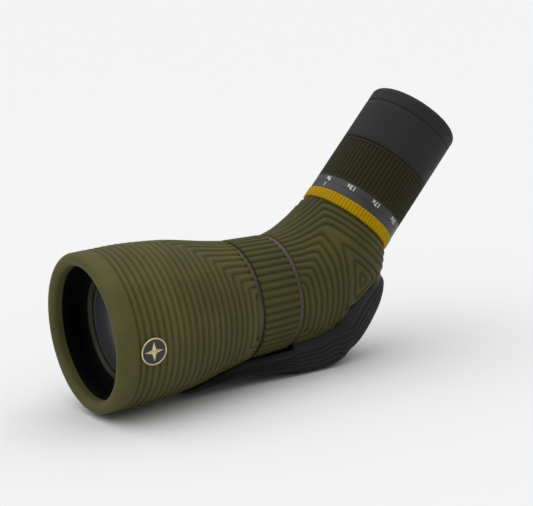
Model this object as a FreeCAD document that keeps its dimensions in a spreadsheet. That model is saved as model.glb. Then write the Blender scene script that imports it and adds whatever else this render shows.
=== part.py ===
import FreeCAD, Part
import math
import os
import re

import Sketcher
from FreeCAD import Placement, Rotation, Vector

# An angled spotting scope: a 50 mm objective in a flared rubber-armoured barrel,
# a helical focus ring round the middle, a 45 degree prism housing on a long rubber
# foot with a tripod socket, and a removable zoom eyepiece with a twist-up eyecup.
#
# +X runs from the objective back towards the prism, +Z is up, and the origin is the
# mouth of the tripod socket. Stations along the tube are measured back from the front
# rim, and stations along the eyepiece up its axis from where it crosses the tube's.

SIZES = {
    # frame
    "axis_height": 38.3,
    "socket_station": 104.0,
    "eye_cross": 112.7,
    "eye_tilt": 45.0,
    # front barrel and its rubber armour
    "rim_radius": 36.4,
    "mouth_radius": 30.5,
    "lip_front": -5.2,
    "armour_skin": 2.2,
    "barrel_wall": 1.8,
    "waist_station": 43.0,
    "waist_radius": 34.0,
    "neck_station": 60.5,
    "neck_radius": 30.4,
    "barrel_end": 70.4,
    "barrel_end_radius": 28.6,
    # objective
    "objective_radius": 25.0,
    "clear_radius": 23.3,
    "objective_face": 11.5,
    "front_lens_edge": 3.2,
    "rear_lens_edge": 4.6,
    "lens_gap": 0.9,
    "front_bend": 140.0,
    "middle_bend": 88.0,
    # trim rings and focusing
    "trim_width": 2.2,
    "front_trim_radius": 27.1,
    "rear_trim_radius": 26.6,
    "focus_start": 73.0,
    "focus_end": 92.5,
    "focus_front_radius": 28.4,
    "focus_rear_radius": 27.5,
    "focus_hub_radius": 26.0,
    "middle_bore": 21.0,
    "middle_radius": 24.2,
    "running_gap": 0.05,
    "carrier_start": 76.8,
    "carrier_length": 12.0,
    "focus_lens_radius": 17.0,
    "focus_pin_radius": 1.2,
    # prism housing
    "housing_start": 94.8,
    "housing_wall": 2.2,
    "prism_side": 36.0,
    "prism_half_width": 13.0,
    "prism_apex_station": 103.0,
    "prism_apex_height": 17.5,
    # foot
    "foot_half_width": 13.5,
    "heel_half_width": 21.0,
    "socket_radius": 2.55,
    "socket_depth": 9.0,
    "bush_radius": 5.5,
    "screw_radius": 1.5,
    # eyepiece
    "collar_start": 35.9,
    "collar_end": 41.4,
    "collar_radius": 23.3,
    "nose_radius": 15.87,
    "collet_outer": 16.9,
    "socket_outer": 18.8,
    "index_start": 41.6,
    "index_end": 44.9,
    "band_end": 48.4,
    "eye_radius": 23.0,
    "grip_end": 71.3,
    "eye_tube_radius": 18.9,
    "eye_tube_bore": 16.5,
    "zoom_hub_radius": 20.9,
    "zoom_lens_radius": 13.5,
    "front_zoom_start": 54.0,
    "rear_zoom_start": 61.5,
    "zoom_carrier_length": 6.0,
    "zoom_pin_radius": 1.0,
    "guide_radius": 19.8,
    "glide_radius": 20.6,
    "cup_radius": 23.0,
    "cup_start": 71.6,
    "cup_end": 101.6,
    "eye_lens_radius": 13.0,
}

doc = FreeCAD.newDocument("spotting_scope")
sheet = doc.addObject("Spreadsheet::Sheet", "Sizes")
for row, (alias, size) in enumerate(SIZES.items(), start=1):
    sheet.set(f"A{row}", alias)
    sheet.set(f"B{row}", str(size))
    sheet.setAlias(f"B{row}", alias)
doc.recompute()

subparts = []
FUNCTIONS = ("cos", "sin", "tan", "sqrt")


def bound(text):
    """The same sum with every size read from the sheet."""
    def from_sheet(match):
        word = match.group()
        return word if word in FUNCTIONS else "Sizes." + word
    return re.sub(r"[a-z][a-z_]*", from_sheet, str(text))


def worked_out(text):
    """What a sum of sizes comes to, in millimetres."""
    return float(sheet.evalExpression(str(text)))


def bind(thing, **properties):
    """Ties properties of an object to sums of sizes."""
    for name, text in properties.items():
        thing.setExpression(name.replace("_at_", "."), bound(text))


def keep(thing, label):
    """Names an object as a sub-part."""
    thing.Label = label
    subparts.append(thing)
    return thing


def set_at(thing, rotation, base, shift):
    """Turns an object and ties its base to sums of sizes, moved by a plain distance."""
    thing.Placement.Rotation = rotation
    for axis, text, extra in zip("xyz", base, shift):
        thing.setExpression(f"Placement.Base.{axis}", f"{bound(text)} + ({extra:.9f})")


def set_on_tube(thing, station="0", turn=Rotation(), shift=Vector()):
    """Turns an object's Z axis along the tube and sets it at a station.

    A turn is made first, about the object's own axes, and a shift is along them."""
    along = Rotation(Vector(0, 1, 0), 90).multiply(turn)
    set_at(thing, along, (f"{station} - socket_station", "0", "axis_height"),
           along.multVec(shift))


def set_on_eyepiece(thing, station="0", turn=Rotation(), shift=Vector()):
    """Turns an object's Z axis up the eyepiece and sets it at a station, as on the tube."""
    along = Rotation(Vector(0, 1, 0), 90 - SIZES["eye_tilt"]).multiply(turn)
    base = (f"eye_cross - socket_station + ({station}) * cos(eye_tilt)", "0",
            f"axis_height + ({station}) * sin(eye_tilt)")
    set_at(thing, along, base, along.multVec(shift))


def outline_sketch(body, plane_role, outline):
    """A closed sketch whose corners are tied to pairs of sums of sizes."""
    sketch = body.newObject("Sketcher::SketchObject", body.Name + "_outline")
    plane = [f for f in body.Origin.OriginFeatures if f.Role == plane_role][0]
    sketch.AttachmentSupport = [(plane, "")]
    sketch.MapMode = "FlatFace"
    corners = [Vector(worked_out(across), worked_out(along), 0) for across, along in outline]
    count = len(corners)
    for i in range(count):
        sketch.addGeometry(Part.LineSegment(corners[i], corners[(i + 1) % count]), False)
    for i in range(count):
        sketch.addConstraint(Sketcher.Constraint("Coincident", i, 2, (i + 1) % count, 1))
    for i, (across, along) in enumerate(outline):
        for kind, text, place in (("DistanceX", across, corners[i].x),
                                  ("DistanceY", along, corners[i].y)):
            if abs(place) < 1e-9:
                pin = "PointOnObject"
                line = -2 if kind == "DistanceX" else -1
                sketch.addConstraint(Sketcher.Constraint(pin, i, 1, line))
                continue
            number = sketch.addConstraint(Sketcher.Constraint(kind, -1, 1, i, 1, place))
            sketch.setExpression(f"Constraints[{number}]", bound(text))
    return sketch


def turned(name, outline, set_up=set_on_tube):
    """A ring or tube turned about an axis, from (radius, station) corners."""
    body = doc.addObject("PartDesign::Body", name)
    sketch = outline_sketch(body, "XZ_Plane", outline)
    revolution = body.newObject("PartDesign::Revolution", name + "_turn")
    revolution.Profile = sketch
    revolution.ReferenceAxis = (sketch, ["V_Axis"])
    revolution.Angle = 360
    set_up(body)
    return body


def tube(name, inner, outer, start, end, set_up=set_on_tube):
    """A plain ring between two radii and two stations."""
    corners = [(inner, start), (outer, start), (outer, end), (inner, end)]
    return turned(name, corners, set_up)


def rod(name, radius, start, end, set_up=set_on_tube, turn=Rotation(), shift=Vector()):
    """A plain cylinder along an axis, between two stations."""
    thing = doc.addObject("Part::Cylinder", name)
    bind(thing, Radius=radius, Height=f"({end}) - ({start})")
    set_up(thing, start, turn, shift)
    return thing


def box(name, low, high):
    """A block between two corners, given as (station, side, height) from the tube axis."""
    thing = doc.addObject("Part::Box", name)
    bind(thing, Length=f"({high[0]}) - ({low[0]})", Width=f"({high[1]}) - ({low[1]})",
         Height=f"({high[2]}) - ({low[2]})",
         Placement_at_Base_at_x=f"({low[0]}) - socket_station",
         Placement_at_Base_at_y=low[1],
         Placement_at_Base_at_z=f"axis_height + ({low[2]})")
    return thing


def joined(name, pieces):
    fuse = doc.addObject("Part::MultiFuse", name)
    fuse.Shapes = pieces
    return fuse


def cut(name, base, tool):
    result = doc.addObject("Part::Cut", name)
    result.Base = base
    result.Tool = tool
    return result


def shared(name, first, second):
    result = doc.addObject("Part::Common", name)
    result.Base = first
    result.Tool = second
    return result


def group(name, pieces):
    """Separate like solids that are one sub-part."""
    thing = doc.addObject("Part::Compound", name)
    thing.Links = pieces
    return thing


def ball(name, radius, centre, set_up):
    thing = doc.addObject("Part::Sphere", name)
    bind(thing, Radius=radius)
    set_up(thing, centre)
    return thing


def lens(name, radius, front, edge, front_bend, rear_bend, set_up):
    """A lens from the station of its front edge; a bend above zero bulges outwards."""
    def sag(bend):
        return f"({bend} - sqrt({bend} * {bend} - ({radius}) * ({radius})))"
    start, end = f"{front}", f"{front} + {edge}"
    glass = rod(name + "_blank", radius, f"{start} - 6", f"{end} + 6", set_up)
    for side, bend, station, sign in (("front", front_bend, start, "+"),
                                      ("rear", rear_bend, end, "-")):
        bulges = not bend.startswith("-")
        size = bend.lstrip("-")
        if bulges:
            centre = f"{station} {sign} ({size} - {sag(size)})"
            surface = ball(f"{name}_{side}_ball", size, centre, set_up)
            glass = shared(f"{name}_{side}", glass, surface)
        else:
            away = "-" if sign == "+" else "+"
            centre = f"{station} {away} ({size} - {sag(size)})"
            surface = ball(f"{name}_{side}_ball", size, centre, set_up)
            lid_start, lid_end = (f"{start} - 8", start) if side == "front" else (end, f"{end} + 8")
            lid = rod(f"{name}_{side}_lid", f"{radius} + 1", lid_start, lid_end, set_up)
            glass = cut(f"{name}_{side}", cut(f"{name}_{side}_face", glass, lid), surface)
    return glass


def spokes(name, radius, reach, station, count, first_angle, set_up, start_radius):
    """Short radial pins round an axis."""
    pins = []
    for i in range(count):
        pin = doc.addObject("Part::Cylinder", f"{name}_{i + 1}")
        bind(pin, Radius=radius, Height=f"({reach}) - ({start_radius})")
        turn = Rotation(Vector(0, 0, 1), first_angle + 360.0 * i / count)
        outward = turn.multiply(Rotation(Vector(0, 1, 0), 90))
        set_up(pin, station, outward, Vector(0, 0, worked_out(start_radius)))
        pins.append(pin)
    return pins


# Front barrel: an aluminium shell that flares to the hood, threaded for the objective
# cell at the front and the middle barrel at the back. The armour is moulded over it.

skin_outline = [
    ("rim_radius - armour_skin - 0.2", "lip_front + 3.7"),
    ("rim_radius - armour_skin - 0.2", "26"),
    ("waist_radius - armour_skin", "waist_station"),
    ("neck_radius - armour_skin", "neck_station"),
    ("barrel_end_radius - armour_skin", "barrel_end"),
]
bore_outline = [
    ("barrel_end_radius - armour_skin - barrel_wall", "barrel_end"),
    ("neck_radius - armour_skin - barrel_wall", "neck_station - 0.6"),
    ("waist_radius - armour_skin - barrel_wall", "waist_station - 0.6"),
    ("rim_radius - armour_skin - 3", "27"),
    ("rim_radius - armour_skin - 3", "lip_front + 3.7"),
]
keep(turned("front_barrel", skin_outline + bore_outline), "front_barrel")

armour_outline = [
    ("mouth_radius", "lip_front + 3.5"),
    ("mouth_radius + 0.6", "lip_front + 1.4"),
    ("mouth_radius + 2", "lip_front + 0.2"),
    ("rim_radius - 2.9", "lip_front"),
    ("rim_radius - 1.2", "lip_front + 0.9"),
    ("rim_radius - 0.3", "lip_front + 2.6"),
    ("rim_radius", "lip_front + 4.2"),
    ("rim_radius", "18"),
    ("rim_radius - 0.9", "31"),
    ("waist_radius", "waist_station"),
    ("neck_radius", "neck_station"),
    ("barrel_end_radius", "barrel_end"),
]
armour_back = list(reversed(skin_outline))
armour_mouth = [
    ("rim_radius - armour_skin - 3", "lip_front + 3.7"),
    ("rim_radius - armour_skin - 3", "7"),
    ("mouth_radius", "7"),
]
front_rubber = turned("front_rubber", armour_outline + armour_back + armour_mouth)

# Objective: a black cell holds an air-spaced pair of lenses, a spacer between them and
# a threaded retaining ring in front. An O-ring seals the cell in the barrel.

keep(turned("objective_cell", [
    ("objective_radius", "objective_face - 1"),
    ("rim_radius - armour_skin - 3.02", "objective_face - 1"),
    ("rim_radius - armour_skin - 3.02", "16"),
    ("rim_radius - armour_skin - 4.4", "16"),
    ("rim_radius - armour_skin - 4.4", "18"),
    ("rim_radius - armour_skin - 3.02", "18"),
    ("rim_radius - armour_skin - 3.02", "26"),
    ("clear_radius - 0.5", "26"),
    ("clear_radius - 0.5", "24.2"),
    ("objective_radius", "24.2"),
]), "objective_cell")
keep(turned("objective_retaining_ring", [
    ("clear_radius", "objective_face"),
    ("clear_radius + 0.7", "objective_face - 1.4"),
    ("objective_radius - 0.02", "objective_face - 1.4"),
    ("objective_radius - 0.02", "objective_face + 0.6"),
    ("clear_radius", "objective_face + 0.25"),
]), "objective_retaining_ring")
front_glass = "objective_face + 0.6"
rear_glass = "objective_face + 0.6 + front_lens_edge + lens_gap"
keep(lens("front_glass", "objective_radius - 0.02", front_glass, "front_lens_edge",
          "front_bend", "middle_bend", set_on_tube), "objective_front_lens")
keep(lens("rear_glass", "objective_radius - 0.02", rear_glass, "rear_lens_edge",
          "-middle_bend", "front_bend", set_on_tube), "objective_rear_lens")
keep(turned("objective_spacer", [
    ("clear_radius + 0.6", f"{front_glass} + front_lens_edge + 0.34"),
    ("objective_radius - 0.02", f"{front_glass} + front_lens_edge"),
    ("objective_radius - 0.02", rear_glass),
    ("clear_radius + 0.6", f"{rear_glass} + 0.28"),
]), "objective_spacer")
seal = doc.addObject("Part::Torus", "objective_seal")
bind(seal, Radius1="rim_radius - armour_skin - 3.7", Radius2="0.68")
set_on_tube(seal, "17")
keep(seal, "objective_seal")
keep(tube("front_baffle", "18.6", "24.6", "64", "65"), "front_baffle")

# Badge: a thin gilt ring and a four-point compass star on a dark plate, glued in a flat
# recess on the left side of the armour.

badge_tilt = -6.5
badge_station = 11.1
badge_turn = Rotation(Vector(1, 0, 0), 90 - badge_tilt)
badge_out = badge_turn.multVec(Vector(0, 0, 1))


def badge_piece(thing, depth):
    """Sets a flat piece on the badge's own axis, at a distance from the tube axis."""
    centre = badge_out * (SIZES["rim_radius"] - depth)
    foot = Vector(badge_station - SIZES["socket_station"], 0, SIZES["axis_height"])
    thing.Placement = Placement(foot + centre, badge_turn)
    return thing


def badge_disc(name, radius, thickness, depth):
    thing = doc.addObject("Part::Cylinder", name)
    thing.Radius = radius
    thing.Height = thickness
    return badge_piece(thing, depth)


recess = badge_disc("badge_recess", 6.25, 4.0, 1.3)
keep(cut("armour_with_recess", front_rubber, recess), "front_armour")
keep(badge_disc("badge_plate", 6.2, 1.3, 1.3), "badge_plate")
gilt = cut("gilt", badge_disc("gilt_disc", 6.2, 0.3, 0.0), badge_disc("gilt_hole", 5.5, 0.3, 0.0))
keep(gilt, "badge_ring")
star_points = []
for i in range(8):
    reach = 4.3 if i % 2 == 0 else 1.3
    bearing = math.radians(45 * i)
    star_points.append(Vector(reach * math.cos(bearing), reach * math.sin(bearing), 0))
star = doc.addObject("Part::Feature", "star")
star.Shape = Part.Face(Part.makePolygon(star_points + star_points[:1])).extrude(Vector(0, 0, 0.25))
keep(badge_piece(star, 0.0), "badge_star")

# Trim rings and middle barrel: two anodised rings close the gaps either side of the
# focus ring, which turns on the middle barrel. Its three slots guide the drive pins.

keep(tube("front_trim_ring", "middle_radius + 0.02", "front_trim_radius",
          "barrel_end + 0.2", "barrel_end + 0.2 + trim_width"), "front_trim_ring")
keep(tube("rear_trim_ring", "middle_radius + 0.02", "rear_trim_radius",
          "focus_end + 0.1", "housing_start - 0.1"), "rear_trim_ring")
middle_blank = turned("middle_blank", [
    ("middle_bore", "65.2"),
    ("middle_radius", "65.2"),
    ("middle_radius", "housing_start"),
    ("middle_radius - 1.5", "housing_start"),
    ("middle_radius - 1.5", "housing_start + 5"),
    ("middle_bore", "housing_start + 5"),
])
slots = []
for i in range(3):
    slot = doc.addObject("Part::Box", f"guide_slot_{i + 1}")
    bind(slot, Length="8", Width="2 * focus_pin_radius + 0.1", Height="16")
    spin = Rotation(Vector(0, 0, 1), 180 + 120 * i)
    inner_corner = Vector(SIZES["middle_bore"] - 2, -SIZES["focus_pin_radius"] - 0.05, 0)
    set_on_tube(slot, "carrier_start - 2", spin, inner_corner)
    slots.append(slot)
screws = []
for i in range(3):
    spin = Rotation(Vector(0, 0, 1), 60 + 120 * i)
    out = Vector(SIZES["middle_bore"] + 0.85, 0, 0)
    shank = rod(f"prism_screw_shank_{i + 1}", "0.6", "housing_start + 2",
                "housing_start + 7.3", set_on_tube, spin, out)
    head = rod(f"prism_screw_head_{i + 1}", "1.1", "housing_start + 7.3",
               "housing_start + 8.3", set_on_tube, spin, out)
    screws.append(joined(f"prism_screw_{i + 1}", [shank, head]))
bracket_screws = group("bracket_screws", screws)
keep(cut("slotted_barrel", middle_blank, joined("barrel_cuts", slots + screws)), "middle_barrel")
seals = []
for i, station in enumerate(("focus_start + 1.4", "focus_end - 1.4")):
    ring = doc.addObject("Part::Torus", f"focus_seal_{i + 1}")
    bind(ring, Radius1="middle_radius + 0.42", Radius2="0.4")
    set_on_tube(ring, station)
    seals.append(ring)
keep(group("focus_seals", seals), "focus_seals")

# Focus ring: a hard ring with a bonded rubber grip. A relief inside takes the cam that
# moves three drive pins, which carry the focusing lens along the slots.

keep(turned("focus_ring", [
    ("middle_radius + running_gap", "focus_start + 2.2"),
    ("middle_radius + 1.0", "focus_start + 2.2"),
    ("middle_radius + 1.0", "focus_start"),
    ("focus_hub_radius", "focus_start"),
    ("focus_hub_radius", "focus_end"),
    ("middle_radius + 1.0", "focus_end"),
    ("middle_radius + 1.0", "focus_end - 2.2"),
    ("middle_radius + running_gap", "focus_end - 2.2"),
    ("middle_radius + running_gap", "focus_end - 2.9"),
    ("middle_radius + 0.9", "focus_end - 2.9"),
    ("middle_radius + 0.9", "focus_start + 2.9"),
    ("middle_radius + running_gap", "focus_start + 2.9"),
]), "focus_ring")
keep(turned("focus_grip", [
    ("focus_hub_radius", "focus_start"),
    ("focus_front_radius", "focus_start"),
    ("focus_rear_radius", "focus_end"),
    ("focus_hub_radius", "focus_end"),
]), "focus_grip")
focus_pins = group("focus_pins", spokes(
    "focus_pin", "focus_pin_radius", "middle_radius + 0.8", "carrier_start + 6", 3, 180,
    set_on_tube, "middle_bore - 2.5"))
carrier_blank = turned("carrier_blank", [
    ("focus_lens_radius - 1", "carrier_start + 1.5"),
    ("focus_lens_radius - 1", "carrier_start"),
    ("middle_bore - running_gap", "carrier_start"),
    ("middle_bore - running_gap", "carrier_start + carrier_length"),
    ("focus_lens_radius", "carrier_start + carrier_length"),
    ("focus_lens_radius", "carrier_start + 1.5"),
])
keep(cut("drilled_carrier", carrier_blank, focus_pins), "focus_carrier")
keep(lens("focus_glass", "focus_lens_radius", "carrier_start + 2", "5",
          "-front_bend", "-middle_bend", set_on_tube), "focusing_lens")
keep(focus_pins, "focus_drive_pins")


# Prism housing: a magnesium elbow, lofted through ellipses that turn from the tube's end
# to the eyepiece collar about one pivot. The rubber armour is the same elbow, larger.

def upright(name, radius, low, high, station):
    """A cylinder standing between two heights from the tube axis."""
    thing = doc.addObject("Part::Cylinder", name)
    bind(thing, Radius=radius, Height=f"({high}) - ({low})",
         Placement_at_Base_at_x=f"{station} - socket_station",
         Placement_at_Base_at_z=f"axis_height + ({low})")
    return thing


PIVOT = Vector(94.8 - SIZES["socket_station"], 0, SIZES["axis_height"] + 67.9)
ELBOW = [  # turn in degrees, distance from the pivot, radius in the bend, radius across
    (0.0, 67.9, 27.4, 27.39),
    (12.0, 67.4, 28.3, 28.0),
    (24.0, 66.1, 28.3, 27.7),
    (36.0, 64.2, 26.9, 26.4),
    (45.0, 60.75, 23.2, 23.19),
]


def elbow(name, inset):
    rings = []
    for i, (turn, reach, in_bend, across) in enumerate(ELBOW):
        ring = doc.addObject("Part::Ellipse", f"{name}_ring_{i + 1}")
        bind(ring, MajorRadius=f"{in_bend} - ({inset})", MinorRadius=f"{across} - ({inset})")
        angle = math.radians(turn)
        centre = PIVOT + Vector(math.sin(angle), 0, -math.cos(angle)) * reach
        ring.Placement = Placement(centre, Rotation(Vector(0, 1, 0), 90 - turn))
        rings.append(ring)
    loft = doc.addObject("Part::Loft", name)
    loft.Sections = rings
    loft.Solid = True
    return loft


elbow_outside = elbow("elbow_outside", "0")
elbow_shell = elbow("elbow_shell", "armour_skin")
elbow_hollow = elbow("elbow_hollow", "armour_skin + housing_wall")
foot_window = box("foot_window", ("96", "-10", "-37"), ("126", "10", "-12"))
foot_screws = []
for i, station in enumerate(("114", "121")):
    head = upright(f"foot_screw_head_{i + 1}", "2.75", "-36.2", "-33.4", station)
    shank = upright(f"foot_screw_shank_{i + 1}", "screw_radius", "-33.4", "-24.4", station)
    foot_screws.append(joined(f"foot_screw_{i + 1}", [head, shank]))
socket_seat = rod("socket_seat", "socket_outer", "26", "36.5", set_on_eyepiece)
housing_cuts = joined("housing_cuts", [elbow_hollow, socket_seat] + foot_screws)
keep(cut("housing", elbow_shell, housing_cuts), "prism_housing")
rubber_elbow = cut("rubber_elbow", elbow_outside, elbow_shell)
keep(cut("rear_rubber", rubber_elbow, foot_window), "rear_armour")

# Prism: a Schmidt roof prism, a 45 degree wedge whose third side is cut to a 90 degree
# ridge. A bracket with two cheeks holds it, under a leaf spring, by three screws.

apex = ("prism_apex_station - socket_station", "axis_height + prism_apex_height")
wedge_body = doc.addObject("PartDesign::Body", "wedge")
wedge_sketch = outline_sketch(wedge_body, "XZ_Plane", [
    ("0", "0"),
    ("0", "0 - prism_side"),
    ("prism_side * cos(eye_tilt)", "0 - prism_side * sin(eye_tilt)"),
])
wedge_pad = wedge_body.newObject("PartDesign::Pad", "wedge_pad")
wedge_pad.Profile = wedge_sketch
bind(wedge_pad, Length="2 * prism_half_width")
wedge_pad.Midplane = True
bind(wedge_body, Placement_at_Base_at_x=apex[0], Placement_at_Base_at_z=apex[1])
ridge = doc.addObject("Part::Box", "ridge")
bind(ridge, Length="2 * prism_side", Width="2 * prism_side", Height="2 * prism_side")
ridge_rise = SIZES["eye_tilt"] / 2
ridge_turn = Rotation(Vector(0, 1, 0), -ridge_rise).multiply(Rotation(Vector(1, 0, 0), 45))
ridge_low = Vector(SIZES["prism_apex_station"] - SIZES["socket_station"], 0,
                   SIZES["axis_height"] + SIZES["prism_apex_height"] - SIZES["prism_side"])
along_ridge = Rotation(Vector(0, 1, 0), -ridge_rise).multVec(Vector(1, 0, 0))
ridge.Placement = Placement(ridge_low - along_ridge * SIZES["prism_side"] * 0.5, ridge_turn)
keep(shared("roof_prism_glass", wedge_body, ridge), "roof_prism")

plate = rod("bracket_plate", "middle_radius - 2.2", "housing_start + 5.1", "housing_start + 7.3")
window = rod("bracket_window", "12.5", "housing_start + 5", "housing_start + 7.4")
cheeks = []
for name, low, high in (("left", "-prism_half_width - 1.5", "-prism_half_width"),
                        ("right", "prism_half_width", "prism_half_width + 1.5")):
    cheeks.append(box(f"bracket_cheek_{name}", ("housing_start + 6", low, "-9"),
                      ("housing_start + 20", high, "4")))
bracket = cut("bracket", joined("bracket_blank", [plate] + cheeks), window)
gap_filler = box("prism_seat", ("housing_start + 7.3", "-10", "-17.5"),
                 ("prism_apex_station", "10", "-13.2"))
bracket_with_seat = joined("bracket_with_seat", [bracket, gap_filler])
keep(cut("drilled_bracket", bracket_with_seat, bracket_screws), "prism_bracket")
leaf = doc.addObject("Part::Box", "leaf")
bind(leaf, Length="5", Width="2 * prism_half_width + 3", Height="0.6")
leaf_turn = Rotation(Vector(0, 1, 0), SIZES["eye_tilt"])
leaf_base = Vector(SIZES["prism_apex_station"] - SIZES["socket_station"] + 1.2,
                   -SIZES["prism_half_width"] - 1.5,
                   SIZES["axis_height"] + SIZES["prism_apex_height"] - 1.2)
leaf.Placement = Placement(leaf_base, leaf_turn)
keep(leaf, "prism_clamp_spring")
keep(bracket_screws, "prism_screws")

# Foot: a rubber keel from under the objective barrel to the heel, which widens and climbs
# the back of the housing as a bumper. A metal block in the heel, screwed up into the
# housing, carries the threaded tripod bush.

FOOT_SIDE = [  # station and height from the tube axis, round the foot's side view
    (35, -31), (35.6, -34.6), (38.5, -35.4), (45, -34.8), (57, -33.6), (71, -33.6), (84, -35.4),
    (95, -37.6), (101, -38.3), (114, -38.3), (123, -37.0), (131, -33.4), (139, -27),
    (145.5, -19), (150.5, -9), (152.5, -2), (150, 0), (144, -3), (130, -12), (110, -20),
]
side_wire = Part.makePolygon([Vector(s, 0, z) for s, z in FOOT_SIDE + FOOT_SIDE[:1]])
side_slab = doc.addObject("Part::Feature", "foot_side_slab")
side_slab.Shape = Part.Face(side_wire).extrude(Vector(0, 60, 0))
side_slab.Placement = Placement(
    Vector(-SIZES["socket_station"], -30, SIZES["axis_height"]), Rotation())


def across_slab(name, start, end, half_width, corners):
    """A slab along the tube with the given (share of the half width, height) corners."""
    left = [Vector(start, share * half_width, height) for share, height in corners]
    right = [Vector(start, -share * half_width, height) for share, height in reversed(corners)]
    outline = left + right
    slab = doc.addObject("Part::Feature", name)
    face = Part.Face(Part.makePolygon(outline + outline[:1]))
    slab.Shape = face.extrude(Vector(end - start, 0, 0))
    slab.Placement = Placement(
        Vector(-SIZES["socket_station"], 0, SIZES["axis_height"]), Rotation())
    return slab


keel_section = [(1, 0), (1, -30), (0.93, -34), (0.7, -40)]
heel_section = [(1, 5), (1, -24), (0.9, -32), (0.62, -40)]
keel = shared("keel", side_slab,
              across_slab("keel_slab", 30, 106, SIZES["foot_half_width"], keel_section))
heel = shared("heel", side_slab,
              across_slab("heel_slab", 104, 160, SIZES["heel_half_width"], heel_section))
foot_blank = joined("foot_blank", [keel, heel])
foot_clear = turned("foot_clearance", [
    ("0", "30"),
    ("rim_radius - 0.9", "31"),
    ("waist_radius", "waist_station"),
    ("neck_radius", "neck_station"),
    ("barrel_end_radius", "barrel_end"),
    ("focus_front_radius + 0.8", "barrel_end + 0.4"),
    ("focus_front_radius + 0.8", "housing_start"),
    ("0", "housing_start"),
])
block_blank = box("block_blank", ("97", "-9.5", "-36.4"), ("125", "9.5", "-12.5"))
block_shape = cut("block_shape", block_blank, elbow_shell)
bush_hole = box("bush_hole", ("socket_station - 6", "-6", "-40"), ("socket_station + 6", "6", "-36"))
foot_hollow = joined("foot_hollow", [foot_clear, elbow_outside, block_blank, bush_hole])
keep(cut("foot_rubber", foot_blank, foot_hollow), "foot_armour")


bush_body = upright("bush_body", "bush_radius", "0 - axis_height", "0 - axis_height + 10",
                    "socket_station")
bush_bore = upright("bush_bore", "socket_radius", "0 - axis_height - 1",
                    "0 - axis_height + socket_depth", "socket_station")
bush_flange = box("bush_flange", ("socket_station - 6", "-6", "0 - axis_height"),
                  ("socket_station + 6", "6", "-36.4"))
keep(cut("bush", joined("bush_blank", [bush_body, bush_flange]), bush_bore), "tripod_bush")
screw_room = group("foot_screw_room", foot_screws)
block_holes = joined("block_holes", [bush_body] + foot_screws)
keep(cut("drilled_block", block_shape, block_holes), "foot_block")
keep(screw_room, "foot_screws")

# Eyepiece socket: a flanged tube threaded into the housing. The yellow collar turns on it
# and squeezes a split collet on to the eyepiece's nose.

keep(turned("eyepiece_socket", [
    ("collet_outer", "27"),
    ("socket_outer", "27"),
    ("socket_outer", "collar_start - 0.53"),
    ("zoom_hub_radius + 1", "collar_start - 0.53"),
    ("zoom_hub_radius + 1", "collar_start - 0.1"),
    ("socket_outer + 0.6", "collar_start - 0.1"),
    ("socket_outer + 0.6", "collar_end - 1.2"),
    ("collet_outer", "collar_end - 1.2"),
], set_on_eyepiece), "eyepiece_socket")
collet_blank = tube("collet_blank", "nose_radius + 0.08", "collet_outer - 0.02", "30",
                    "collar_end - 1.3", set_on_eyepiece)
split = doc.addObject("Part::Box", "collet_split")
bind(split, Length="5", Width="1.4", Height="14")
set_on_eyepiece(split, "29", Rotation(), Vector(14, -0.7, 0))
keep(cut("split_collet", collet_blank, split), "collet")
keep(turned("lock_collar", [
    ("socket_outer + 0.6 + running_gap", "collar_start"),
    ("collar_radius", "collar_start"),
    ("collar_radius", "collar_end"),
    ("nose_radius + 0.3", "collar_end"),
    ("nose_radius + 0.3", "collar_end - 0.9"),
    ("socket_outer + 0.6 + running_gap", "collar_end - 0.9"),
], set_on_eyepiece), "lock_collar")

# Eyepiece barrel: one aluminium turning with the 1.25 inch nose, the fixed index band and
# the tube that the zoom ring turns on. Two pairs of slots guide the zoom carriers' pins.

eye_blank = turned("eye_blank", [
    ("nose_radius - 1.4", "25"),
    ("nose_radius", "25"),
    ("nose_radius", "index_start"),
    ("eye_radius", "index_start"),
    ("eye_radius", "index_end"),
    ("eye_tube_radius", "index_end"),
    ("eye_tube_radius", "82"),
    ("eye_tube_bore", "82"),
    ("eye_tube_bore", "index_end"),
    ("nose_radius - 1.4", "index_end"),
], set_on_eyepiece)


def pin_slots(name, start, length, angles):
    """Lengthwise slots through the eyepiece tube's wall."""
    slots = []
    for i, angle in enumerate(angles):
        slot = doc.addObject("Part::Box", f"{name}_{i + 1}")
        bind(slot, Length="6", Width="2 * zoom_pin_radius + 0.1", Height=length)
        inner_corner = Vector(SIZES["eye_tube_bore"] - 1.5, -SIZES["zoom_pin_radius"] - 0.05, 0)
        set_on_eyepiece(slot, start, Rotation(Vector(0, 0, 1), angle), inner_corner)
        slots.append(slot)
    return slots


front_slots = pin_slots("front_slot", "front_zoom_start + 3 - 8 - 1.2", "8 + 2.4", (0, 180))
rear_slots = pin_slots("rear_slot", "rear_zoom_start + 3 - 1.2", "5 + 2.4", (90, 270))
keep(cut("slotted_eye_tube", eye_blank, joined("eye_slots", front_slots + rear_slots)),
     "eyepiece_barrel")
keep(turned("field_stop", [
    ("9.5", "36"),
    ("nose_radius - 1.42", "36"),
    ("nose_radius - 1.42", "37.2"),
    ("10.2", "37.2"),
], set_on_eyepiece), "field_stop")
keep(lens("nose_glass", "nose_radius - 1.42", "28", "3.5", "front_bend", "middle_bend",
          set_on_eyepiece), "field_lens")

# Zoom ring: the black number band and the hub under the ribbed grip, round a cam sleeve
# whose reliefs take the pins of the two sliding lens carriers.

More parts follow.
